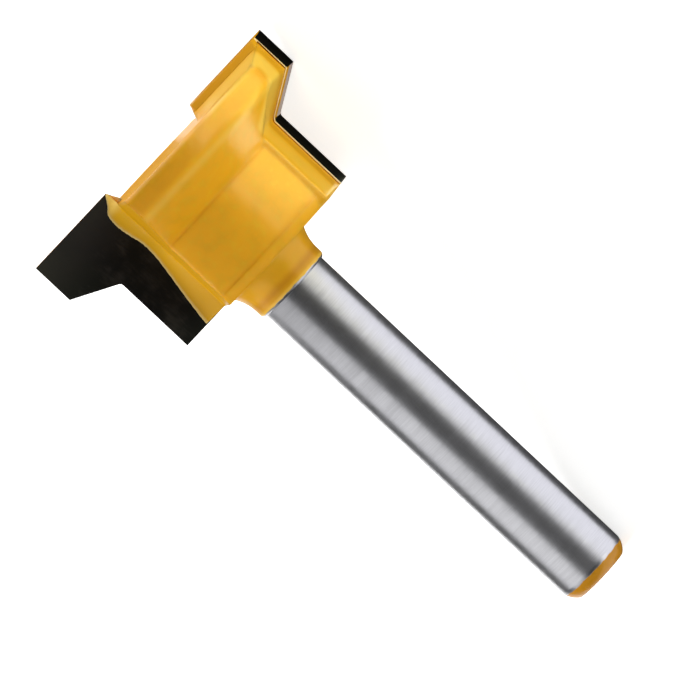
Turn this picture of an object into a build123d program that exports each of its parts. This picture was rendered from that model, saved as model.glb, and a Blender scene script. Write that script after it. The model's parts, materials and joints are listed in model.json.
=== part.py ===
from build123d import *
import math
import os

# A two-flute, carbide-tipped router bit that cuts the lipped edge of a drawer front.
# It is drawn on its own axis: Z runs from the free end of the shank to the cutting end,
# and both rake faces lie in the plane Y = 0. The right-hand wing stands at +X with its
# clearance lands behind it, towards -Y, and the left-hand wing is the same wing turned
# half a turn about the axis. Lengths are in millimetres and angles in degrees.

# Shank and collar
shank_diameter = 6.35
shank_length = 33.52
shank_end_diameter = 4.92
shank_end_height = 1.21
shank_end_crown = 1.75
collar_diameter = 7.02
collar_height = 2.98
collar_round = 0.4
neck_height = 2.11
neck_round = 3.65

# Cutting profile, on the rake plane
cutting_diameter = 25.94
waist_cutting_diameter = 18.42
cutting_height = 12.98
tip_edge_height = 3.7
slope_angle = 29.05
waist_corner_round = 0.4

# Clearance behind the cutting edges
tip_clearance = 23.0
waist_clearance = 21.5
slope_clearance = 16.4
end_clearance = 12.0
land_depth = 5.95
tip_land_depth = 5.62
waist_land_depth = 4.73

# Turned body between the wings
shoulder_height = 3.19
shoulder_round = 1.2
foot_height = 6.22
rim_round = 0.5
lip_height = 0.9
lip_inset = 0.42
line_width = 0.24
line_depth = 0.08

# Flutes and carbide tips
tip_thickness = 1.8
tip_inner_radius = 4.92
seat_shoulder_width = 0.05
wing_end_lean = 23.8
flute_lean = 3.63


def rate(angle):
    """How far a face that leans by the angle moves sideways for each millimetre."""
    return math.tan(math.radians(angle))


# Radii and heights that follow from the sizes above
shank_radius = shank_diameter / 2
collar_radius = collar_diameter / 2
cutting_radius = cutting_diameter / 2
waist_cutting_radius = waist_cutting_diameter / 2
head_base = shank_length + collar_height
head_top = head_base + cutting_height
end_face = head_top - land_depth * rate(end_clearance)
tip_corner = head_top - tip_edge_height
shoulder = head_top - shoulder_height
foot = head_top - foot_height
lip_top = head_base + lip_height

# The lands run out on the turned radii
ring_radius = math.hypot(cutting_radius - tip_land_depth * rate(tip_clearance), tip_land_depth)
waist_radius = math.hypot(
    waist_cutting_radius - waist_land_depth * rate(waist_clearance), waist_land_depth
)

# A tool that has to reach past the whole head is this large
clear = 2 * cutting_radius


def corner_at(sketch, x, y):
    """The sketch's corner that lies nearest to a point."""
    return min(sketch.vertices(), key=lambda vertex: math.hypot(vertex.X - x, vertex.Y - y))


def turned(section):
    """The solid that a half section, drawn as radius and height, sweeps about the axis."""
    return revolve(Plane.XZ * section, Axis.Z)


def opposite(solid):
    """The same form on the other side of the axis."""
    return Rot(0, 0, 180) * solid


def shank():
    """The shank with its crowned end, the collar and the neck that flares into the head."""
    end_radius = shank_end_diameter / 2
    neck_base = head_base - neck_height
    neck_sweep = math.degrees(math.asin(min(neck_height / neck_round, 1)))
    neck = JernArc((collar_radius, neck_base), (0, 1), neck_round, -neck_sweep)
    crown = RadiusArc((end_radius, 0), (shank_radius, shank_end_height), -shank_end_crown)
    collar_edge = TangentArc(
        (collar_radius, shank_length + collar_round),
        (shank_radius, shank_length),
        tangent=(0, -1),
    )
    outline = [
        Line((0, 0), (end_radius, 0)),
        crown,
        Line((shank_radius, shank_end_height), (shank_radius, shank_length)),
        collar_edge,
        Line((collar_radius, shank_length + collar_round), (collar_radius, neck_base)),
        neck,
        Line(neck @ 1, (0, head_base)),
        Line((0, head_base), (0, 0)),
    ]
    return turned(make_face(outline))


def head():
    """The turned head: ring, shoulder, cone, waist and lip, with a scribed line at each end."""
    section = make_face(
        Polyline(
            (0, head_base),
            (waist_radius - lip_inset, head_base),
            (waist_radius, lip_top),
            (waist_radius, foot),
            (ring_radius, shoulder),
            (ring_radius, end_face),
            (0, end_face),
            (0, head_base),
        )
    )
    section = fillet(corner_at(section, ring_radius, shoulder), shoulder_round)
    section = fillet(corner_at(section, ring_radius, end_face), rim_round)
    line = Rectangle(2 * line_depth, line_width)
    section -= Pos(waist_radius, foot - line_width / 2) * line
    section -= Pos(waist_radius, lip_top + line_width / 2) * line
    return turned(section)


def wing_section(depth):
    """The wing's outline at a depth behind the rake plane, drawn in by each clearance."""
    top = head_top - depth * rate(end_clearance)
    tip = cutting_radius - depth * rate(tip_clearance)
    waist = waist_cutting_radius - depth * rate(waist_clearance)

    def slope(radius):
        drop = (cutting_radius - radius) * rate(slope_angle)
        return tip_corner - drop + depth * rate(slope_clearance)

    return Plane.XZ.offset(depth) * make_face(
        Polyline(
            (0, head_base),
            (waist, head_base),
            (waist, slope(waist)),
            (tip, slope(tip)),
            (tip, top),
            (0, top),
            (0, head_base),
        )
    )


def wing():
    """The whole wing behind the rake plane, steel and carbide together."""
    solid = loft([wing_section(0), wing_section(land_depth)], ruled=True)
    waist_corner = tip_corner - (cutting_radius - waist_cutting_radius) * rate(slope_angle)
    corner = Vector(waist_cutting_radius, 0, waist_corner)
    edge = min(
        solid.edges().filter_by(lambda candidate: candidate.bounding_box().size.Y > tip_thickness),
        key=lambda candidate: min((vertex.center() - corner).length for vertex in candidate.vertices()),
    )
    return fillet(edge, waist_corner_round)


def behind_rake(depth):
    """A block outside the tip's inner end, as deep behind the rake plane as asked."""
    return Pos(tip_inner_radius, 0, head_base) * Box(
        clear, depth, 2 * cutting_height, align=(Align.MIN, Align.MAX, Align.CENTER)
    )


def flute():
    """The space in front of a rake face, with the seat of the carbide tip behind it."""
    section = make_face(
        Polyline(
            (tip_inner_radius, 0),
            (tip_inner_radius, -tip_thickness),
            (clear, -tip_thickness),
            (clear, clear),
            (tip_inner_radius - clear * rate(flute_lean), clear),
            (tip_inner_radius, 0),
        )
    )
    return Pos(0, 0, head_base) * extrude(section, clear)


def end_gap():
    """The space between the wings on the cutting end, down to the end face, with leaning sides."""
    depth = head_top - end_face
    mouth = tip_inner_radius - seat_shoulder_width
    bottom = mouth - depth * rate(wing_end_lean)
    above = bottom + 2 * depth * rate(wing_end_lean)
    section = make_face(
        Polyline(
            (-bottom, end_face),
            (bottom, end_face),
            (above, end_face + 2 * depth),
            (-above, end_face + 2 * depth),
            (-bottom, end_face),
        )
    )
    return extrude(Plane.XZ * section, clear, both=True)


def steel_body():
    """Shank and head in one piece, relieved behind the wings and fluted in front of them."""
    one_wing = wing()
    relief = behind_rake(land_depth) - one_wing
    body = shank() + head()
    for tool in (relief, opposite(relief)):
        body -= tool
    for added in (one_wing, opposite(one_wing)):
        body += added
    for tool in (end_gap(), flute(), opposite(flute())):
        body -= tool
    return body


def carbide_tip():
    """The brazed tip: the front slice of the wing, from its seat shoulder to the edges."""
    return wing() & behind_rake(tip_thickness)


def flute_edge(radius, height):
    """The point where the wall of the flute at +X cuts a circle about the axis."""
    lean = rate(flute_lean)
    across = 1 + lean * lean
    half = tip_inner_radius * lean
    y = (half + math.sqrt(half * half + across * (radius**2 - tip_inner_radius**2))) / across
    return Vector(tip_inner_radius - y * lean, y, height)


def floor_plane():
    """The plane on which the bit comes to rest, with its X towards the cutting end.

    Three points carry it: the corner of one tip, the shoulder of the ring where the flute
    in front of that tip ends, and the shank where its crowned end begins. The pitch of the
    axis and the point on the shoulder's round depend on each other a little, so they are
    worked out together.
    """
    cone_angle = math.atan2(ring_radius - waist_radius, shoulder - foot)
    ring_end = shoulder + shoulder_round * math.tan(cone_angle / 2)
    pitch = 0.0
    for _ in range(8):
        ring_point = flute_edge(
            ring_radius - shoulder_round * (1 - math.cos(pitch)),
            ring_end - shoulder_round * math.sin(pitch),
        )
        chord = ring_point - Vector(cutting_radius, 0, tip_corner)
        length = math.hypot(chord.X, chord.Y)
        turn = math.atan2(chord.Y, chord.X) - math.acos(chord.Z * math.tan(pitch) / length)
        axis_height = cutting_radius * math.cos(turn)
        pitch = math.atan2(axis_height - shank_radius, tip_corner - shank_end_height)
    sideways = Vector(math.cos(turn), math.sin(turn), 0)
    down = sideways * math.cos(pitch) - Vector(0, 0, math.sin(pitch))
    ahead = sideways * math.sin(pitch) + Vector(0, 0, math.cos(pitch))
    touching = Vector(cutting_radius, 0, tip_corner)
    return Plane(origin=down * down.dot(touching), x_dir=ahead, z_dir=down * -1)


def carbide_tips():
    """Both tips, each the other turned half a turn."""
    tip = carbide_tip()
    return {"carbide_tip_a": tip, "carbide_tip_b": opposite(tip)}


pieces = {"steel_body": steel_body(), **carbide_tips()}
resting = floor_plane()
laid = {name: resting.to_local_coords(solid) for name, solid in pieces.items()}
box = Compound(list(laid.values())).bounding_box()
to_origin = Pos(-box.center().X, -box.center().Y, 0)

os.makedirs("parts", exist_ok=True)
for name, solid in laid.items():
    export_step(to_origin * solid, f"parts/{name}.step")
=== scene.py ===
import json
import math

import bmesh
import bpy
from mathutils import Matrix, Vector


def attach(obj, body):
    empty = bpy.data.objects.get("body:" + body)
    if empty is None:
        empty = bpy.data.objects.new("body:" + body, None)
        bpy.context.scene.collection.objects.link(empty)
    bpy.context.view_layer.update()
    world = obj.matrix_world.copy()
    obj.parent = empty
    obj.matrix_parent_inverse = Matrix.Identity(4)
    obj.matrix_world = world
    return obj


# A carbide-tipped router bit lying on a white floor. Lengths in this script are in
# millimetres in the bit's own frame: Z runs from the free end of the shank to the cutting
# end, both rake faces lie in the plane Y = 0, and carbide_tip_a stands at +X. Behind its
# rake face, which faces +Y, the wing at +X falls away towards -Y. The wing at -X is the
# same turned half a turn, so most things are placed by three numbers: across, the distance
# from the plane through the axis that parts the wings, behind, the depth behind the rake
# plane, and height.

MM = 0.001

# Lengths closer than this are taken as the same
NEAR = 0.01

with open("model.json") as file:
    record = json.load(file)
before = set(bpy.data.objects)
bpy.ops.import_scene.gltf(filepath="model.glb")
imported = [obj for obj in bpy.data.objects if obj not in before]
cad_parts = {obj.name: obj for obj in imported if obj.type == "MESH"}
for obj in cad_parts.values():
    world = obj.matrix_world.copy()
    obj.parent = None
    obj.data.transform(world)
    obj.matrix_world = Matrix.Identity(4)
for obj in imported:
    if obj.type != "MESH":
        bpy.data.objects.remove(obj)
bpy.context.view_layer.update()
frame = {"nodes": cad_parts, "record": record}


def bit_frame():
    """The matrix that takes the bit's own frame, in metres, to the row's frame."""
    shank = next(mount for mount in frame["record"]["mounts"] if mount["name"] == "shank")
    along = -Vector(shank["axis"]).normalized()
    on_axis = Vector(shank["pos_m"])

    def off_axis(point):
        arm = point - on_axis
        return arm - along * arm.dot(along)

    tip_corner = max(
        (off_axis(vertex.co) for vertex in frame["nodes"]["carbide_tip_a"].data.vertices),
        key=lambda arm: arm.length,
    )
    across = tip_corner.normalized()
    low = min((v.co - on_axis).dot(along) for v in frame["nodes"]["steel_body"].data.vertices)
    axes = Matrix((across, along.cross(across), along)).transposed()
    return Matrix.Translation(on_axis + along * low) @ axes.to_4x4()


BIT = bit_frame()
HALF_TURN = Matrix.Rotation(math.pi, 4, "Z")


def in_bit(node):
    """A node's vertices in the bit's frame, in millimetres."""
    back = BIT.inverted()
    return [(back @ vertex.co) / MM for vertex in frame["nodes"][node].data.vertices]


def rate(angle):
    """How far a face that leans by the angle moves sideways for each millimetre."""
    return math.tan(math.radians(angle))


# Sizes read from the frame
tip_points = in_bit("carbide_tip_a")
HEAD_TOP = max(point.z for point in tip_points)
HEAD_BASE = min(point.z for point in tip_points)
TIP_INNER = min(point.x for point in tip_points)
CUTTING_RADIUS = max(point.x for point in tip_points)
TIP_THICKNESS = -min(point.y for point in tip_points)
WAIST_CUTTING_RADIUS = max(point.x for point in tip_points if point.z < HEAD_BASE + NEAR)
TIP_CORNER_HEIGHT = min(point.z for point in tip_points if point.x > CUTTING_RADIUS - NEAR)

# Angles of the wings' faces, in degrees, as in their solids
SLOPE_ANGLE = 29.05
END_CLEARANCE = 12.0
TIP_CLEARANCE = 23.0
WING_END_LEAN = 23.8
FLUTE_LEAN = 3.63

# Camera, measured in the photograph, which is 680 px wide and shows the 6.35 mm shank 80 px
# wide: the bit's axis is seen from a little beyond the cutting end and runs down to the right
PIXEL = 0.079375
PICTURE_WIDTH = 680 * PIXEL
CAMERA_DISTANCE = 700.0
CAMERA_BEYOND_TIP = 13.96
AIM_FROM_TIP = 21.51
AIM_SIDEWAYS = -0.603
AXIS_DOWN = math.radians(43.23)

# How far inside the profile of the cutting edges the enamel's soft ridge runs
RIDGE_FROM_END = 1.1
RIDGE_FROM_LAND = 1.87
RIDGE_FROM_SLOPE = 1.25
RIDGE_FROM_WAIST = 1.75

# Where shade is painted round the middle of the ring, and where a highlight is painted over its
# shoulder, measured from the cutting end
RING_SHADE = (1.8, 2.95)
RING_HIGHLIGHT = (3.3, 3.75)

# Heights at which the enamel ends on the shank. It is brown on the shank's end, up to where
# that fades out, and a band of brown painted shade lies on the collar, given from the enamel's
# edge up.
SHANK_END_PAINT = 0.92
SHANK_END_BROWN = (1.2, 1.6)
COLLAR_PAINT = 33.72
COLLAR_SHADE = (0.45, 1.0)

# The wavy edge of the enamel on a rake face: distance from the cutting end, and across
ENAMEL_EDGE = (
    (0.08, 4.98), (0.8, 5.5), (1.3, 5.98), (2.1, 6.14), (2.9, 6.12), (3.9, 5.95), (4.9, 5.76),
    (6.4, 5.82), (8.3, 6.14), (10.2, 6.5), (12.1, 6.82), (12.9, 6.92),
)

# Each wing's end is flat over the tip and steep behind it: depth behind the rake face, and
# how far the end has dropped there
WING_END = (
    (0.0, 0.0), (0.5, 0.01), (1.0, 0.02),
    (TIP_THICKNESS - NEAR, 0.03), (TIP_THICKNESS + NEAR, 0.03),
    (2.5, 0.05), (2.65, 0.13), (2.9, 0.4), (3.15, 0.68),
)

# Colours, as screen values
ENAMEL = (240, 168, 0)
# Lighter enamel: random specks, and painted light over the whole fillet
ENAMEL_LIGHT = (244, 190, 26)
# Pale enamel: a painted highlight on the ridges, the ring's shoulder, edges, the fillet's top and
# the wing ends' foot, and the pale edge of the enamel on the collar
ENAMEL_PALE = (252, 208, 98)
# Painted shade round the middle of the ring
ENAMEL_RING_SHADE = (222, 144, 0)
ENAMEL_STRIP = (214, 150, 10)
# Olive enamel: deeper random patches, and painted shade under the head
ENAMEL_OLIVE = (202, 152, 10)
ENAMEL_SHADED = (193, 140, 6)
# Brown enamel: on the shank's end, and as painted shade on the collar
ENAMEL_BROWN = (184, 118, 0)
STEEL = (214, 214, 218)
STEEL_GROOVE = (184, 184, 187)
CARBIDE = (25, 26, 27)
# Lighter carbide, in random patches and towards the cutting end
CARBIDE_LIGHTER = (66, 64, 63)
CARBIDE_FLANK = (17, 15, 17)
CARBIDE_GROUND = (200, 182, 200)
BRAZE = (255, 230, 196)
BRAZE_DULL = (232, 190, 136)
# The rim where the braze shows along the fillet, painted lighter as a highlight
FILLET_RIM = (250, 216, 136)

# Gloss of the enamel, its thick glossy coat and the black carbide
ENAMEL_GLOSS = 0.2
ENAMEL_ROUGHNESS = 0.38
COAT_ROUGHNESS = 0.27
COAT_IOR = 1.65
CARBIDE_GLOSS = 0.2

# How widely the enamel is drawn round the body's edges, and round the wings' ends
BODY_ROUND = 0.7
WING_END_ROUND = 0.2

# Directions in the bit's frame: along the axis, across the wings and out of the rake planes
ALONG = (0.0, 0.0, 1.0)
ACROSS = (1.0, 0.0, 0.0)
OUT_OF_RAKE = (0.0, 1.0, 0.0)

# Light, as parts of full strength
WHITE = (1.0, 1.0, 1.0)
ROOM_LIGHT = 0.35
FLOOR_COLOUR = (0.9, 0.9, 0.9, 1.0)
FLOOR_GLOW = 0.7

# Lamps: name, place and aim in metres in the row's frame, width and height, power, colour
LAMPS = (
    ("low_lamp", (-0.12, -0.6, 0.03), (0.01, 0.0, 0.005), (0.3, 0.06), 1.3, (0.93, 1.0, 0.5)),
    ("left_lamp", (-0.07, 0.52, 0.46), (0.0, 0.0, 0.0), (0.4, 0.4), 4.8, WHITE),
    ("end_lamp", (0.62, 0.2, 0.1), (0.02, 0.0, 0.01), (0.3, 0.15), 1.7, (1.0, 0.92, 0.7)),
    ("shank_lamp", (-0.6, -0.2, 0.2), (0.01, 0.0, 0.01), (0.3, 0.3), 0.2, WHITE),
    (
        "fill_lamp", (0.025, -0.03, 0.0002), (0.025, -0.03, 1.0), (0.04, 0.04), 0.005,
        (0.87, 1.0, 0.55),
    ),
)

# The cards are seen only in gloss: they stand where the photograph's reflections come from.
# Cards round the axis: name, the two angles and the two heights that they span, distance, glow
SIDE_CARDS = (
    ("front_shank_card", (-38.0, 23.0), (-60.0, 32.0), 120.0, 0.1),
    ("front_head_card", (-100.0, 29.0), (32.0, 150.0), 110.0, 0.0),
    ("left_shank_card", (-95.0, -38.0), (-80.0, 32.0), 100.0, 1.05),
    ("left_edge_card", (-180.0, -103.0), (-80.0, 32.0), 90.0, 0.1),
)

# Cards over the floor, in millimetres in the row's frame: name, the stretch along X, the near
# edge's and the far edge's Y at its two ends, glow, colour
FLOOR_CARDS = (
    ("under_shank_card", (-28.0, 10.0), (-3.2, -5.8), (3.7, 9.0), 0.05, WHITE),
    ("under_head_card", (10.0, 40.0), (-13.0, -13.0), (5.0, 5.0), 0.0, WHITE),
    ("right_shank_card", (-28.0, 10.0), (-3.2, -5.8), (-500.0, -500.0), 1.25, (0.95, 0.95, 1.0)),
    ("right_head_card", (10.0, 60.0), (-13.0, -13.0), (-500.0, -500.0), 1.9, (1.0, 0.93, 0.3)),
    ("behind_head_card", (10.0, 60.0), (10.0, 10.0), (80.0, 80.0), 0.3, (1.0, 0.85, 0.5)),
)

# Cards square to the axis: name, height, the stretches along X and Y, glow, colour
BELOW_HEAD = HEAD_BASE - 0.1
SQUARE_CARDS = (
    ("shank_end_card", -60.0, (-300.0, 300.0), (100.0, -300.0), 0.0, WHITE),
    ("cone_card", BELOW_HEAD, (-60.0, 8.3), (-60.0, -4.7), 0.0, WHITE),
    ("cone_side_card", BELOW_HEAD, (8.3, 60.0), (-60.0, -7.5), 0.0, WHITE),
    ("cone_glow_card", BELOW_HEAD, (8.3, 18.0), (-7.5, 10.0), 1.6, (0.95, 1.0, 0.7)),
)


def srgb(colour):
    """Screen values from 0 to 255 as the linear colour that a shader takes."""

    def linear(value):
        value /= 255
        return value / 12.92 if value <= 0.04045 else ((value + 0.055) / 1.055) ** 2.4

    return (*[linear(value) for value in colour], 1.0)


class Shading:
    """A material and short calls that add nodes to it."""

    def __init__(self, name):
        self.material = bpy.data.materials.new(name)
        self.material.use_nodes = True
        self.tree = self.material.node_tree
        self.shader = self.tree.nodes["Principled BSDF"]
        self.output = self.tree.nodes["Material Output"]

    def node(self, kind, *values, **settings):
        """A node of a kind, with its settings and with its inputs filled in from the first on."""
        made = self.tree.nodes.new("ShaderNode" + kind)
        for key, value in settings.items():
            setattr(made, key, value)
        for socket, value in zip(made.inputs, values):
            self.fill(socket, value)
        return made

    def fill(self, socket, value):
        """Links a socket to another one, or sets it to a plain value."""
        if isinstance(value, bpy.types.NodeSocket):
            self.tree.links.new(value, socket)
        elif value is not None:
            socket.default_value = value

    def set(self, **values):
        """Fills the shader's inputs: an underscore in a name stands for a space."""
        for name, value in values.items():
            self.fill(self.shader.inputs[name.replace("_", " ")], value)

    def math(self, operation, *values):
        return self.node("Math", *values, operation=operation).outputs[0]

    def product(self, first, *others):
        """Numbers multiplied, which for masks gives the place that all of them share."""
        for other in others:
            first = self.math("MULTIPLY", first, other)
        return first

    def highest(self, first, *others):
        for other in others:
            first = self.math("MAXIMUM", first, other)
        return first

    def vector(self, operation, *values):
        made = self.node("VectorMath", *values, operation=operation)
        return made.outputs["Value" if operation in ("DOT_PRODUCT", "LENGTH") else "Vector"]

    def between(self, value, start, end, low=0.0, high=1.0):
        """Turns a value that runs from start to end into one that runs softly from low to high."""
        made = self.node("MapRange", value, start, end, low, high, interpolation_type="SMOOTHSTEP")
        return made.outputs[0]

    def band(self, value, start, end, blur):
        """1 where a value lies between two others, and 0 elsewhere, with soft ends."""
        rise = self.between(value, start - blur, start + blur)
        return self.product(rise, self.between(value, end - blur, end + blur, 1.0, 0.0))

    def blend(self, amount, first, second, kind="FLOAT"):
        """Goes from the first of two numbers, vectors or colours to the second."""
        made = self.node("Mix", amount, data_type=kind)
        shown = kind.replace("FLOAT", "VALUE")
        ends = [socket for socket in made.inputs if socket.type == shown and socket.name in "AB"]
        for socket, value in zip(ends, (first, second)):
            self.fill(socket, value)
        return next(socket for socket in made.outputs if socket.type == shown)

    def mix(self, amount, first, second):
        return self.blend(amount, first, second, "RGBA")

    def tint(self, colour, amount, screen_colour):
        """Draws a colour towards one of the named ones."""
        return self.mix(amount, colour, srgb(screen_colour))

    def noise(self, vector, scale, detail=2.0, roughness=0.5):
        made = self.node("TexNoise")
        self.fill(made.inputs["Vector"], vector)
        made.inputs["Scale"].default_value = scale
        made.inputs["Detail"].default_value = detail
        made.inputs["Roughness"].default_value = roughness
        return made.outputs[0]

    def combined(self, x, y, z):
        """Three numbers as one vector."""
        return self.node("CombineXYZ", x, y, z).outputs[0]

    def bump(self, height, strength, distance, normal=None):
        made = self.node("Bump")
        made.inputs["Strength"].default_value = strength
        made.inputs["Distance"].default_value = distance * MM
        self.fill(made.inputs["Height"], height)
        self.fill(made.inputs["Normal"], normal)
        return made.outputs[0]

    def bevel(self, radius, samples):
        """The normal, drawn round over sharp edges."""
        made = self.node("Bevel", samples=samples)
        made.inputs["Radius"].default_value = radius * MM
        return made.outputs[0]

    def place(self):
        """The point shaded, in the bit's frame in millimetres, and the numbers that place it."""
        where = self.node("Mapping", vector_type="TEXTURE")
        self.fill(where.inputs["Vector"], self.node("TexCoord").outputs["Object"])
        where.inputs["Location"].default_value = BIT.translation
        where.inputs["Rotation"].default_value = BIT.to_euler()
        where.inputs["Scale"].default_value = (MM, MM, MM)
        self.point = where.outputs[0]
        x, y, self.height = self.node("SeparateXYZ", self.point).outputs
        self.across = self.math("ABSOLUTE", x)
        self.behind = self.product(y, self.math("SIGN", self.product(x, -1.0)))
        self.radius = self.vector("LENGTH", self.combined(x, y, 0.0))
        self.turn = self.math("ARCTAN2", y, x)

    def true_normal(self):
        return self.node("NewGeometry").outputs["True Normal"]

    def facing(self, direction):
        """How far the surface faces a direction of the bit's frame, from -1 to 1."""
        world = (BIT.to_3x3() @ Vector(direction)).normalized()
        return self.vector("DOT_PRODUCT", self.true_normal(), tuple(world))

    def facing_either(self, direction):
        """How far the surface faces a direction or the opposite one, from 0 to 1."""
        return self.math("ABSOLUTE", self.facing(direction))


def enamel_colour(s):
    """Yellow enamel, deeper in soft patches and lighter in small specks."""
    deep = s.between(s.noise(s.point, 0.8, 4.0, 0.6), 0.4, 0.7, 0.0, 0.32)
    light = s.between(s.noise(s.point, 1.6, 4.0, 0.65), 0.45, 0.75, 0.0, 0.35)
    return s.tint(s.tint(srgb(ENAMEL), deep, ENAMEL_OLIVE), light, ENAMEL_LIGHT)


def ridge_distance(s):
    """How far a point lies inside the soft ridge that runs round behind each tip's flanks.

    The ridge follows the wing's outline: the cutting end, the outer land and the slope,
    rounded into each other, and then the waist's land.
    """
    outer = s.math("SUBTRACT", CUTTING_RADIUS - RIDGE_FROM_LAND, s.across)
    top = s.math("SUBTRACT", HEAD_TOP - RIDGE_FROM_END, s.height)
    angle = math.radians(SLOPE_ANGLE)
    inward = s.product(s.math("SUBTRACT", CUTTING_RADIUS, s.across), math.sin(angle))
    upward = s.product(s.math("SUBTRACT", s.height, TIP_CORNER_HEIGHT), math.cos(angle))
    above_slope = s.math("SUBTRACT", s.math("ADD", inward, upward), RIDGE_FROM_SLOPE)
    wing = s.math("SMOOTH_MIN", s.math("SMOOTH_MIN", outer, top, 1.0), above_slope, 1.0)
    beside_waist = s.math("SUBTRACT", WAIST_CUTTING_RADIUS - RIDGE_FROM_WAIST, s.across)
    below_corner = s.math("SUBTRACT", TIP_CORNER_HEIGHT, s.height)
    waist = s.math("MINIMUM", beside_waist, below_corner)
    return s.math("SMOOTH_MAX", wing, waist, 0.5)


def wing_enamel(s, colour):
    """Paints a highlight along the ridge behind each tip, and darkens the enamel outside that."""
    behind_tip = s.between(s.behind, 2.1, 2.5)
    outside_ring = s.between(s.across, 4.5, 6.0)
    off_end_face = s.between(s.facing(ALONG), 0.985, 0.995, 1.0, 0.0)
    above_base = s.between(s.height, HEAD_BASE, HEAD_BASE + 0.1)
    wing = s.product(behind_tip, outside_ring, off_end_face, above_base)
    ridge = ridge_distance(s)
    at_ridge = s.band(ridge, -0.4, 0.42, 0.2)
    beyond_ridge = s.between(ridge, -0.55, -0.4, 1.0, 0.0)
    slope_foot = TIP_CORNER_HEIGHT - 2.0
    # Painted highlight along the ridge, stronger above the slope's foot
    pale = s.between(s.height, slope_foot - 0.5, slope_foot + 0.5, 0.35, 0.65)
    dark = s.between(s.product(s.facing(ALONG), -1.0), 0.6, 0.8, 0.7, 0.35)
    colour = s.tint(colour, s.product(wing, at_ridge, pale), ENAMEL_PALE)
    return s.tint(colour, s.product(wing, beyond_ridge, dark), ENAMEL_STRIP)


def ring_enamel(s, colour):
    """Paints shade round the middle of the ring, and a highlight over its shoulder."""
    from_end = s.math("SUBTRACT", HEAD_TOP, s.height)
    ring = s.between(s.radius, WAIST_CUTTING_RADIUS + 0.6, WAIST_CUTTING_RADIUS + 1.2)
    # Painted shade round the ring's middle
    middle = s.product(ring, s.band(from_end, *RING_SHADE, 0.25), 0.45)
    # Painted highlight over the ring's shoulder
    shoulder = s.product(ring, s.band(from_end, *RING_HIGHLIGHT, 0.25), 0.3)
    return s.tint(s.tint(colour, middle, ENAMEL_RING_SHADE), shoulder, ENAMEL_PALE)


def body_enamel(s, near_sharp_edge, flute_wall, below_head):
    """The body's enamel: painted highlights over edges, painted shade in the flutes and under the
    head, and brown near its ends, which on the collar is painted shade.
    """
    colour = wing_enamel(s, ring_enamel(s, enamel_colour(s)))
    behind_flute = s.between(s.behind, -1.0, 0.2)
    waist = WAIST_CUTTING_RADIUS
    inside_waist = s.between(s.across, waist - 0.4, waist + 0.2, 1.0, 0.0)
    # Painted highlight where the enamel's rounded edges catch the light
    edge_highlight = s.product(near_sharp_edge, behind_flute, inside_waist, 0.4)
    colour = s.tint(colour, edge_highlight, ENAMEL_PALE)
    colour = s.tint(colour, flute_wall, ENAMEL_SHADED)
    # Painted shade under the head
    colour = s.tint(colour, s.product(below_head, 0.6), ENAMEL_OLIVE)
    above_paint = s.math("SUBTRACT", s.height, COLLAR_PAINT)
    # Painted shade: a brown band round the collar
    collar = s.product(s.band(above_paint, *COLLAR_SHADE, 0.35), 0.6)
    shank_end = s.between(s.height, *SHANK_END_BROWN, 0.75, 0.0)
    colour = s.tint(colour, s.highest(collar, shank_end), ENAMEL_BROWN)
    paint_edge = s.product(s.band(above_paint, -0.2, 0.2, 0.15), 0.5)
    return s.tint(colour, paint_edge, ENAMEL_PALE)


def enamel_skin(s, edge):
    """The slightly wavy skin of thick enamel, drawn round over sharp edges.

    Gives the bent normal, and how near a sharp edge the point lies, from 0 to 1, which places the
    painted edge highlight.
    """
    rounded = s.bevel(edge, 8)
    near_sharp_edge = s.between(s.vector("DOT_PRODUCT", rounded, s.true_normal()), 0.97, 0.75)
    waved = s.bump(s.noise(s.point, 0.9, 2.0), 0.25, 0.12, rounded)
    return s.bump(s.noise(s.point, 3.5, 2.0), 0.12, 0.03, waved), near_sharp_edge


def ground_steel(s):
    """Steel with fine lines ground round it: its colour, its roughness and its bent normal."""
    round_axis = s.combined(s.product(s.turn, 1.2), 0.0, s.product(s.height, 14.0))
    lines = s.noise(round_axis, 1.0, 4.0, 0.7)
    broad = s.noise(round_axis, 0.22, 2.0)
    colour = s.tint(srgb(STEEL), s.between(lines, 0.3, 0.7, 0.0, 0.5), STEEL_GROOVE)
    rough = s.math("ADD", s.between(broad, 0.3, 0.7, 0.27, 0.34), s.product(lines, 0.06))
    return colour, rough, s.bump(lines, 0.15, 0.004)


def bare_steel(s):
    """1 where the shank is bare, between the slightly wavy ends of the enamel."""
    wobble = s.product(s.math("SUBTRACT", s.noise(s.point, 1.3, 3.0), 0.5), 0.25)
    return s.band(s.math("ADD", s.height, wobble), SHANK_END_PAINT, COLLAR_PAINT, 0.05)


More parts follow.
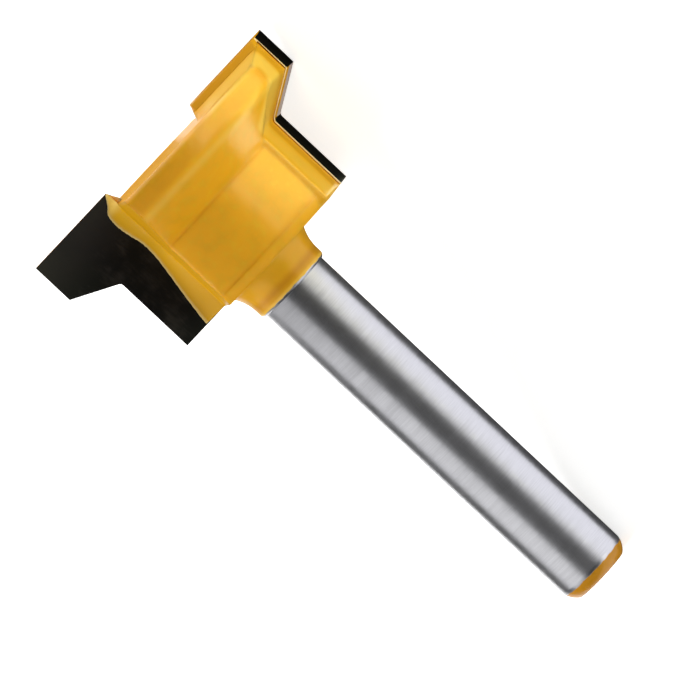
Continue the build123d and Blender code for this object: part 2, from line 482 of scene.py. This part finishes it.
def body_material():
    """Enamel on the head, the collar and the shank's end, and bright ground steel between."""
    s = Shading("enamel_and_ground_steel")
    s.place()
    skin, near_sharp_edge = enamel_skin(s, BODY_ROUND)
    in_flute = s.between(s.behind, -0.5, -0.1, 1.0, 0.0)
    flute_wall = s.product(in_flute, s.between(s.facing_either(ACROSS), 0.85, 0.95))
    off_rake_plane = s.between(s.behind, -1.0, -0.5, 1.0, 0.0)
    flute_corner = s.product(off_rake_plane, s.between(near_sharp_edge, 0.0, 0.2))
    end_on = s.between(s.facing(ALONG), 0.85, 0.95)
    below_head = s.between(s.height, HEAD_BASE - 0.3, HEAD_BASE, 1.0, 0.0)
    bare = bare_steel(s)
    dull = s.highest(bare, flute_wall, flute_corner, end_on, s.product(below_head, 0.7))
    steel, rough, grooves = ground_steel(s)
    s.set(
        Base_Color=s.mix(bare, body_enamel(s, near_sharp_edge, flute_wall, below_head), steel),
        Metallic=bare,
        Roughness=s.blend(bare, ENAMEL_ROUGHNESS, rough),
        Normal=s.blend(bare, skin, grooves, "VECTOR"),
        Specular_IOR_Level=ENAMEL_GLOSS,
        Coat_Weight=s.math("SUBTRACT", 1.0, dull),
        Coat_Roughness=COAT_ROUGHNESS,
        Coat_IOR=COAT_IOR,
        Coat_Normal=skin,
    )
    return s.material


def carbide_material():
    """Black carbide, with its slope flank ground bright and its end flank under enamel."""
    s = Shading("black_carbide")
    s.place()
    patches = s.noise(s.point, 0.5, 4.0, 0.6)
    along_axis = s.combined(s.product(s.across, 4.0), s.behind, s.product(s.height, 0.8))
    streaks = s.noise(along_axis, 1.2, 3.0, 0.6)
    mottled = s.between(s.product(patches, s.math("ADD", streaks, 0.5)), 0.4, 0.75, 0.0, 0.4)
    # Lighter in random patches and towards the cutting end
    lighter_patches_and_top = s.highest(mottled, s.between(s.height, HEAD_TOP - 5.0, HEAD_TOP, 0.0, 0.5))
    rake = s.between(s.facing_either(OUT_OF_RAKE), 0.7, 0.9)
    colour = s.mix(rake, srgb(CARBIDE_FLANK), s.tint(srgb(CARBIDE), lighter_patches_and_top, CARBIDE_LIGHTER))
    slope_flank = s.band(s.product(s.facing(ALONG), -1.0), 0.6, 0.95, 0.02)
    ground = s.tint(srgb(CARBIDE_GROUND), s.between(s.behind, 0.95, 1.15), ENAMEL_STRIP)
    colour = s.mix(slope_flank, colour, ground)
    end_flank = s.between(s.facing(ALONG), 0.8, 0.9)
    s.set(
        Base_Color=s.tint(colour, end_flank, ENAMEL_STRIP),
        Roughness=s.between(patches, 0.3, 0.7, 0.34, 0.46),
        Specular_IOR_Level=CARBIDE_GLOSS,
        Normal=s.bump(streaks, 0.15, 0.01, s.bevel(0.04, 4)),
    )
    return s.material


def fillet_material():
    """Enamel crept over the braze: painted light all over, painted shade low down, a painted
    highlight near the top, and a rim where the braze shows, painted lighter as a highlight.
    """
    s = Shading("enamel_over_braze")
    s.place()
    edge = s.node("Attribute", attribute_name="edge").outputs["Fac"]
    # Painted light: the fillet lies in a shaded corner and is lightened all over
    colour = s.tint(enamel_colour(s), 0.6, ENAMEL_LIGHT)
    # Painted shade towards the head's base, and a painted highlight near the cutting end
    low_shade = s.between(s.height, HEAD_BASE, HEAD_BASE + 7.0, 0.7, 0.0)
    top_highlight = s.between(s.height, HEAD_TOP - 1.9, HEAD_TOP - 1.2, 0.0, 0.85)
    colour = s.tint(s.tint(colour, low_shade, ENAMEL_SHADED), top_highlight, ENAMEL_PALE)
    s.set(
        # The braze along the rim, painted lighter as a highlight
        Base_Color=s.tint(colour, edge, FILLET_RIM),
        Roughness=0.4,
        Specular_IOR_Level=ENAMEL_GLOSS,
        Coat_Weight=0.3,
        Coat_Roughness=0.22,
        Normal=s.bump(s.noise(s.point, 1.6, 3.0), 0.3, 0.1),
    )
    return s.material


def braze_material():
    """Pale braze, duller in patches."""
    s = Shading("braze")
    s.place()
    patches = s.noise(s.point, 1.5, 3.0)
    s.set(
        Base_Color=s.tint(srgb(BRAZE), patches, BRAZE_DULL),
        Roughness=0.45,
        Normal=s.bump(patches, 0.3, 0.05),
    )
    return s.material


def end_material():
    """The enamel drawn over a wing's cutting end, with a painted highlight at its foot and the
    tip's black flank at its outer side.
    """
    s = Shading("enamel_over_wing_end")
    s.place()
    lean = math.radians(TIP_CLEARANCE)
    outer = s.between(s.facing_either((math.cos(lean), -math.sin(lean), 0.0)), 0.8, 0.9)
    on_tip = s.between(s.behind, TIP_THICKNESS - 0.02, TIP_THICKNESS + 0.02, 1.0, 0.0)
    behind_tip = s.band(s.behind, TIP_THICKNESS + 0.04, TIP_THICKNESS + 0.3, 0.03)
    # Painted highlight along the foot of the end, where the rounded enamel catches the light
    foot_highlight = s.between(s.height, HEAD_TOP - 0.8, HEAD_TOP - 0.5, 0.4, 0.0)
    colour = s.tint(srgb(ENAMEL_STRIP), foot_highlight, ENAMEL_PALE)
    colour = s.tint(colour, s.product(outer, behind_tip, 0.8), BRAZE)
    s.set(
        Base_Color=s.tint(colour, s.product(outer, on_tip), CARBIDE_FLANK),
        Roughness=0.4,
        Specular_IOR_Level=ENAMEL_GLOSS,
        Normal=enamel_skin(s, WING_END_ROUND)[0],
    )
    return s.material


def smooth(points, steps):
    """A Catmull-Rom curve through points, with so many steps for each stretch."""
    padded = [points[0] * 2 - points[1], *points, points[-1] * 2 - points[-2]]
    line = []
    for before, start, end, after in zip(padded, padded[1:], padded[2:], padded[3:]):
        for step in range(steps):
            t = step / steps
            line.append(
                0.5
                * (
                    2 * start
                    + (end - before) * t
                    + (2 * before - 5 * start + 4 * end - after) * t * t
                    + (3 * start - before - 3 * end + after) * t**3
                )
            )
    return [*line, points[-1]]


def add_mesh(name, rings, material, shade_smooth, edge_values):
    """A closed skin over rings of points in the bit's frame, riding on the body.

    Where edge values are given, one for each point, its material reads them as "edge".
    """
    mesh = bpy.data.meshes.new(name)
    count = len(rings[0])
    corners = [(BIT @ (point * MM)) for ring in rings for point in ring]
    faces = []
    for i in range(len(rings) - 1):
        for j in range(count):
            k = (j + 1) % count
            faces.append((i * count + j, i * count + k, (i + 1) * count + k, (i + 1) * count + j))
    faces.append(tuple(reversed(range(count))))
    faces.append(tuple((len(rings) - 1) * count + j for j in range(count)))
    mesh.from_pydata(corners, [], faces)
    if edge_values is not None:
        layer = mesh.attributes.new("edge", "FLOAT", "POINT")
        layer.data.foreach_set("value", [value for ring in edge_values for value in ring])
    shape = bmesh.new()
    shape.from_mesh(mesh)
    bmesh.ops.recalc_face_normals(shape, faces=shape.faces)
    shape.to_mesh(mesh)
    shape.free()
    mesh.polygons.foreach_set("use_smooth", [shade_smooth] * len(mesh.polygons))
    mesh.materials.append(material)
    piece = bpy.data.objects.new(name, mesh)
    bpy.context.collection.objects.link(piece)
    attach(piece, "root")


def add_pair(name, rings, material, shade_smooth=True, edge_values=None):
    """The same piece on both wings, the second turned half a turn."""
    for wing, turn in (("a", Matrix()), ("b", HALF_TURN)):
        turned = [[turn @ point for point in ring] for ring in rings]
        add_mesh(f"{name}_{wing}", turned, material, shade_smooth, edge_values)


def fillet_ring(from_end, reach):
    """One cross section of the fillet, and how near each point is to its thin edge."""
    lip_height = 0.07
    lip_width = 0.06
    rim = 0.16
    sunk = 0.02
    in_wall = TIP_INNER - 0.15
    hollow = 1.05
    steps = 9
    height = HEAD_TOP - from_end
    width = reach - TIP_INNER
    rise = 0.35 + width
    profile = [(reach, -sunk), (reach, lip_height / 2)]
    near_edge = [1.0, 1.0]
    for step in range(steps + 1):
        t = step / steps
        proud = lip_height + (rise - lip_height) * t**hollow
        profile.append((reach - lip_width - width * t - proud * rate(FLUTE_LEAN) * t, proud))
        near_edge.append(max(0.0, 1 - t * width / rim))
    profile += [(in_wall, rise), (in_wall, -sunk)]
    near_edge += [0.0, 0.0]
    return [Vector((across, proud, height)) for across, proud in profile], near_edge


def add_fillets():
    """The fillet of braze and enamel between each rake face and the wall of its flute."""
    ripple = (0.01, -0.007, 0.013, -0.012, 0.005)
    line = smooth([Vector(pair) for pair in ENAMEL_EDGE], 6)
    rings = []
    edge_values = []
    for index, (from_end, reach) in enumerate(line):
        ring, near_edge = fillet_ring(from_end, reach + ripple[index % len(ripple)])
        rings.append(ring)
        edge_values.append(near_edge)
    add_pair("braze_fillet", rings, fillet_material(), edge_values=edge_values)


def back_outline():
    """The corners of a tip's back edge, from its inner end round to the head's base."""
    back = [point for point in tip_points if point.y < NEAR - TIP_THICKNESS]
    widest = max(point.x for point in back)
    top = max(point.z for point in back)
    waist = max(point.x for point in back if point.z < HEAD_BASE + NEAR)
    corner = min(point.z for point in back if point.x > widest - NEAR)
    slope = sorted(
        (point for point in back if waist + 0.2 < point.x < widest - NEAR),
        key=lambda point: point.x,
        reverse=True,
    )
    low = max((point.z for point in back if abs(point.x - waist) < NEAR), default=corner)
    points = [(TIP_INNER, top), (widest, top), (widest, corner)]
    points += [(point.x, point.z) for point in slope]
    return [Vector(point) for point in (*points, (waist, low), (waist, HEAD_BASE))]


def add_braze_lines():
    """The thin line of braze round the back edge of each tip, oval in section."""
    half_width = 0.26
    half_height = 0.075
    sunk = 0.045
    middle = 0.2
    sides = 8
    outline = back_outline()
    rings = []
    for index, point in enumerate(outline):
        before = outline[max(index - 1, 0)]
        after = outline[min(index + 1, len(outline) - 1)]
        run = (after - before).normalized()
        ring = []
        for side in range(sides):
            angle = 2 * math.pi * side / sides
            proud = half_height * math.sin(angle) - sunk
            back = half_width * math.cos(angle) - middle - TIP_THICKNESS
            ring.append(Vector((point.x - run.y * proud, back, point.y + run.x * proud)))
        rings.append(ring)
    add_pair("braze_line", rings, braze_material())


def add_end_edges():
    """The full edge of each wing's cutting end: flat over the tip, and steep behind it."""
    chamfer = 0.08
    overlap = 0.03
    inner = TIP_INNER - 0.05
    rings = []
    for depth, drop in WING_END:
        top = HEAD_TOP - drop
        under = HEAD_TOP - depth * rate(END_CLEARANCE) - overlap
        outer = CUTTING_RADIUS - depth * rate(TIP_CLEARANCE)
        proud = outer + min(0.01, depth * 0.05)
        step = min(chamfer, (top - under) / 2)
        low_inner = inner - (HEAD_TOP - under) * rate(WING_END_LEAN)
        upper = [(inner, top), (outer - step, top), (proud, top - step)]
        lower = [(proud, under), (low_inner, under)]
        rings.append([Vector((across, -depth, height)) for across, height in upper + lower])
    add_pair("end_edge", rings, end_material(), shade_smooth=False)


def facing_matrix(location, aim, up):
    """A placement in the bit's frame that looks from one point to another."""
    forward = (aim - location).normalized()
    right = forward.cross(up).normalized()
    turned = Matrix((right, right.cross(forward), -forward)).transposed().to_4x4()
    return Matrix.Translation(location * MM) @ turned


def add_camera():
    """A long lens far from the bit, which shows as much of it as the photograph does."""
    location = Vector((0, -CAMERA_DISTANCE, HEAD_TOP + CAMERA_BEYOND_TIP))
    aim = Vector((AIM_SIDEWAYS, 0, HEAD_TOP - AIM_FROM_TIP))
    up = Vector((math.cos(AXIS_DOWN), 0, math.sin(AXIS_DOWN)))
    camera = bpy.data.cameras.new("camera")
    camera.sensor_width = 36.0
    camera.lens = camera.sensor_width * (aim - location).length / PICTURE_WIDTH
    camera.clip_end = 10000.0 * MM
    holder = bpy.data.objects.new("camera", camera)
    bpy.context.collection.objects.link(holder)
    holder.matrix_world = BIT @ facing_matrix(location, aim, up)
    bpy.context.scene.camera = holder


def background_seen(tree):
    """1 for rays that see the background straight, in gloss or through glass, and 0 for others."""
    path = tree.nodes.new("ShaderNodeLightPath")
    total = path.outputs["Is Camera Ray"]
    for kind in ("Is Glossy Ray", "Is Transmission Ray"):
        either = tree.nodes.new("ShaderNodeMath")
        either.operation = "MAXIMUM"
        tree.links.new(total, either.inputs[0])
        tree.links.new(path.outputs[kind], either.inputs[1])
        total = either.outputs[0]
    return total


def add_floor():
    """A white floor that shows the bit's shadow."""
    reach = 4000.0 * MM
    below_bit = 0.02 * MM
    corners = [(x * reach, y * reach, 0) for x, y in ((-1, -1), (1, -1), (1, 1), (-1, 1))]
    mesh = bpy.data.meshes.new("floor")
    mesh.from_pydata(corners, [], [(0, 1, 2, 3)])
    floor = bpy.data.objects.new("floor", mesh)
    bpy.context.collection.objects.link(floor)
    floor.location.z = -below_bit
    s = Shading("white_floor")
    nodes, links = s.tree.nodes, s.tree.links
    nodes.remove(s.shader)
    diffuse = nodes.new("ShaderNodeBsdfDiffuse")
    diffuse.inputs["Color"].default_value = FLOOR_COLOUR
    glow = nodes.new("ShaderNodeEmission")
    links.new(s.product(background_seen(s.tree), FLOOR_GLOW), glow.inputs["Strength"])
    both = nodes.new("ShaderNodeAddShader")
    links.new(diffuse.outputs[0], both.inputs[0])
    links.new(glow.outputs[0], both.inputs[1])
    links.new(both.outputs[0], s.output.inputs["Surface"])
    mesh.materials.append(s.material)


def add_world():
    """An even room, plain white behind the bit."""
    world = bpy.data.worlds.new("studio")
    bpy.context.scene.world = world
    world.use_nodes = True
    nodes, links = world.node_tree.nodes, world.node_tree.links
    background = nodes["Background"]
    background.inputs["Color"].default_value = (*WHITE, 1.0)
    amount = nodes.new("ShaderNodeMapRange")
    links.new(background_seen(world.node_tree), amount.inputs["Value"])
    amount.inputs["To Min"].default_value = ROOM_LIGHT
    amount.inputs["To Max"].default_value = 1.0
    links.new(amount.outputs[0], background.inputs["Strength"])


def add_lamp(name, location, aim, size, power, colour):
    """A soft lamp that gloss doesn't show: the cards and the white room stand there instead."""
    lamp = bpy.data.lights.new(name, "AREA")
    lamp.shape = "RECTANGLE"
    lamp.size, lamp.size_y = size
    lamp.energy = power
    lamp.color = colour
    holder = bpy.data.objects.new(name, lamp)
    bpy.context.collection.objects.link(holder)
    holder.location = location
    holder.rotation_euler = (Vector(aim) - Vector(location)).to_track_quat("-Z", "Y").to_euler()
    holder.visible_glossy = False
    holder.visible_camera = False


def add_card(name, corners, glow, colour=WHITE):
    """A black or glowing card, by its corners in metres in the row's frame, seen only in gloss."""
    mesh = bpy.data.meshes.new(name)
    mesh.from_pydata(corners, [], [tuple(range(len(corners)))])
    card = bpy.data.objects.new(name, mesh)
    bpy.context.collection.objects.link(card)
    card.visible_camera = False
    card.visible_diffuse = False
    card.visible_shadow = False
    card.visible_transmission = False
    s = Shading(name)
    s.set(
        Base_Color=(0.0, 0.0, 0.0, 1.0),
        Roughness=1.0,
        Specular_IOR_Level=0.0,
        Emission_Color=(*colour, 1.0),
        Emission_Strength=glow,
    )
    mesh.materials.append(s.material)


def add_side_cards(name, angles, heights, distance, glow):
    """A row of cards that bends round the axis.

    Angle 0 is the camera's side and positive angles are towards +X.
    """
    count = 6
    start, end = angles
    low, high = heights
    for step in range(count):
        corners = []
        for index, height in ((step, low), (step + 1, low), (step + 1, high), (step, high)):
            angle = math.radians(start + (end - start) * index / count)
            place = Vector((distance * math.sin(angle), -distance * math.cos(angle), height))
            corners.append(BIT @ (place * MM))
        add_card(f"{name}_{step}", corners, glow)


def add_floor_card(name, along, near, far, glow, colour):
    """A card just over the floor."""
    lift = 0.05 * MM
    (x0, x1), (near0, near1), (far0, far1) = along, near, far
    corners = [(x0, near0), (x1, near1), (x1, far1), (x0, far0)]
    add_card(name, [(x * MM, y * MM, lift) for x, y in corners], glow, colour)


def add_square_card(name, height, x_range, y_range, glow, colour):
    """A card square to the axis."""
    (x0, x1), (y0, y1) = x_range, y_range
    corners = [(x0, y0, height), (x1, y0, height), (x1, y1, height), (x0, y1, height)]
    add_card(name, [BIT @ (Vector(corner) * MM) for corner in corners], glow, colour)


bpy.context.scene.view_settings.view_transform = "Standard"
add_camera()
add_floor()
add_world()
for lamp in LAMPS:
    add_lamp(*lamp)
for card in SIDE_CARDS:
    add_side_cards(*card)
for card in FLOOR_CARDS:
    add_floor_card(*card)
for card in SQUARE_CARDS:
    add_square_card(*card)

carbide = carbide_material()
finishes = {"steel_body": body_material(), "carbide_tip_a": carbide, "carbide_tip_b": carbide}
for node_name, finish in finishes.items():
    for slot in frame["nodes"][node_name].material_slots:
        slot.material = finish
add_fillets()
add_braze_lines()
add_end_edges()
